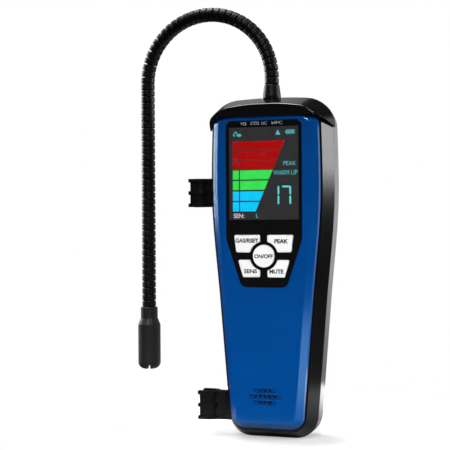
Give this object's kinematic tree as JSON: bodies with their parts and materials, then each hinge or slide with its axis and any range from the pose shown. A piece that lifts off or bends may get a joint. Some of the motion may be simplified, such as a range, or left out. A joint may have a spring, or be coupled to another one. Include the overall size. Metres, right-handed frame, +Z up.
{
  "type": "refrigerant leak detector",
  "caption": "Handheld gas leak detector: tapered two-tone casing with display and keypad, and a stay-put gooseneck probe that ends in a slotted sensor tip",
  "frame": {"origin": "On the standing surface, under the axis of the gooseneck where it leaves the casing", "axes": "+X to the right, front faces -Y, +Z up"},
  "size_m": [0.1277, 0.0398, 0.2616],
  "materials": {
    "blue_shell": "satin moulded plastic, blue",
    "black_shell": "satin moulded plastic, black",
    "black_gloss": "polished black plastic",
    "clear_window": "clear acrylic",
    "display": "liquid crystal cell, dark with coloured segments",
    "key_white": "white keys with dark words",
    "dark_plastic": "black component plastic",
    "circuit_board": "green solder mask",
    "steel": "plated steel",
    "cell_jacket": "printed cell jacket, plain",
    "neck_black": "black coated spiral neck",
    "tip_black": "black moulded tip",
    "filter_white": "felt dust filter",
    "clip_black": "black moulded clip"
  },
  "bodies": {
    "casing": {"front_shell": "blue_shell", "rear_shell": "black_shell", "top_cap": "black_gloss", "keypad_panel": "black_gloss", "display_window": "clear_window", "display_module": "display", "key_switches": "dark_plastic", "main_board": "circuit_board", "board_screws": "steel", "speaker": "dark_plastic", "battery_contacts": "steel", "case_screws": "steel", "neck_ferrule": "neck_black", "neck_nut": "steel", "gooseneck_base": "neck_black", "upper_clip": "clip_black", "lower_clip": "clip_black", "battery_1": "cell_jacket", "battery_2": "cell_jacket", "battery_3": "cell_jacket"},
    "reset_button": {"reset_key": "key_white"},
    "peak_button": {"peak_key": "key_white"},
    "power_button": {"power_key": "key_white"},
    "sens_button": {"sens_key": "key_white"},
    "mute_button": {"mute_key": "key_white"},
    "door": {"battery_door": "black_shell"},
    "neck_1": {"gooseneck_link_1": "neck_black"},
    "neck_2": {"gooseneck_link_2": "neck_black"},
    "neck_3": {"gooseneck_link_3": "neck_black"},
    "neck_4": {"gooseneck_link_4": "neck_black"},
    "neck_5": {"gooseneck_link_5": "neck_black"},
    "neck_6": {"gooseneck_link_6": "neck_black"},
    "neck_7": {"gooseneck_link_7": "neck_black"},
    "neck_8": {"gooseneck_link_8": "neck_black"},
    "neck_9": {"gooseneck_link_9": "neck_black"},
    "neck_10": {"gooseneck_link_10": "neck_black"},
    "neck_11": {"gooseneck_link_11": "neck_black"},
    "neck_12": {"gooseneck_link_12": "neck_black"},
    "neck_13": {"gooseneck_link_13": "neck_black"},
    "neck_14": {"gooseneck_link_14": "neck_black"},
    "neck_15": {"gooseneck_link_15": "neck_black"},
    "probe": {"gooseneck_run": "neck_black", "probe_collar": "tip_black", "sensor_guard": "tip_black", "sensor_element": "steel", "sensor_filter": "filter_white"}
  },
  "joints": [
    {"name": "reset_press", "type": "slide", "parent": "casing", "child": "reset_button", "axis": [0, 1, 0], "range_m": [0, 0.0006], "stiffness_N_per_m": 2500},
    {"name": "peak_press", "type": "slide", "parent": "casing", "child": "peak_button", "axis": [0, 1, 0], "range_m": [0, 0.0006], "stiffness_N_per_m": 2500},
    {"name": "power_press", "type": "slide", "parent": "casing", "child": "power_button", "axis": [0, 1, 0], "range_m": [0, 0.0006], "stiffness_N_per_m": 2500},
    {"name": "sens_press", "type": "slide", "parent": "casing", "child": "sens_button", "axis": [0, 1, 0], "range_m": [0, 0.0006], "stiffness_N_per_m": 2500},
    {"name": "mute_press", "type": "slide", "parent": "casing", "child": "mute_button", "axis": [0, 1, 0], "range_m": [0, 0.0006], "stiffness_N_per_m": 2500},
    {"name": "door_lift", "type": "slide", "parent": "casing", "child": "door", "axis": [0, 1, 0], "range_m": [0, 0.03]},
    {"name": "gooseneck_bend_1", "type": "hinge", "parent": "casing", "child": "neck_1", "pos_m": [-0.0002, 0, 0.22058], "axis": [0, 1, 0], "range_deg": [0, 11.25]},
    {"name": "gooseneck_bend_2", "type": "hinge", "parent": "neck_1", "child": "neck_2", "pos_m": [-0.00175, 0, 0.2284], "axis": [0, 1, 0], "range_deg": [0, 11.25]},
    {"name": "gooseneck_bend_3", "type": "hinge", "parent": "neck_2", "child": "neck_3", "pos_m": [-0.0048, 0, 0.23576], "axis": [0, 1, 0], "range_deg": [0, 11.25]},
    {"name": "gooseneck_bend_4", "type": "hinge", "parent": "neck_3", "child": "neck_4", "pos_m": [-0.00923, 0, 0.24239], "axis": [0, 1, 0], "range_deg": [0, 11.25]},
    {"name": "gooseneck_bend_5", "type": "hinge", "parent": "neck_4", "child": "neck_5", "pos_m": [-0.01486, 0, 0.24802], "axis": [0, 1, 0], "range_deg": [0, 11.25]},
    {"name": "gooseneck_bend_6", "type": "hinge", "parent": "neck_5", "child": "neck_6", "pos_m": [-0.02149, 0, 0.25245], "axis": [0, 1, 0], "range_deg": [0, 11.25]},
    {"name": "gooseneck_bend_7", "type": "hinge", "parent": "neck_6", "child": "neck_7", "pos_m": [-0.02885, 0, 0.2555], "axis": [0, 1, 0], "range_deg": [0, 11.25]},
    {"name": "gooseneck_bend_8", "type": "hinge", "parent": "neck_7", "child": "neck_8", "pos_m": [-0.03667, 0, 0.25705], "axis": [0, 1, 0], "range_deg": [0, 11.25]},
    {"name": "gooseneck_bend_9", "type": "hinge", "parent": "neck_8", "child": "neck_9", "pos_m": [-0.04463, 0, 0.25705], "axis": [0, 1, 0], "range_deg": [0, 11.25]},
    {"name": "gooseneck_bend_10", "type": "hinge", "parent": "neck_9", "child": "neck_10", "pos_m": [-0.05245, 0, 0.2555], "axis": [0, 1, 0], "range_deg": [0, 11.25]},
    {"name": "gooseneck_bend_11", "type": "hinge", "parent": "neck_10", "child": "neck_11", "pos_m": [-0.05981, 0, 0.25245], "axis": [0, 1, 0], "range_deg": [0, 11.25]},
    {"name": "gooseneck_bend_12", "type": "hinge", "parent": "neck_11", "child": "neck_12", "pos_m": [-0.06644, 0, 0.24802], "axis": [0, 1, 0], "range_deg": [0, 11.25]},
    {"name": "gooseneck_bend_13", "type": "hinge", "parent": "neck_12", "child": "neck_13", "pos_m": [-0.07207, 0, 0.24239], "axis": [0, 1, 0], "range_deg": [0, 11.25]},
    {"name": "gooseneck_bend_14", "type": "hinge", "parent": "neck_13", "child": "neck_14", "pos_m": [-0.0765, 0, 0.23576], "axis": [0, 1, 0], "range_deg": [0, 11.25]},
    {"name": "gooseneck_bend_15", "type": "hinge", "parent": "neck_14", "child": "neck_15", "pos_m": [-0.07955, 0, 0.2284], "axis": [0, 1, 0], "range_deg": [0, 11.25]},
    {"name": "gooseneck_bend_16", "type": "hinge", "parent": "neck_15", "child": "probe", "pos_m": [-0.0811, 0, 0.22058], "axis": [0, 1, 0], "range_deg": [0, 11.25]}
  ]
}
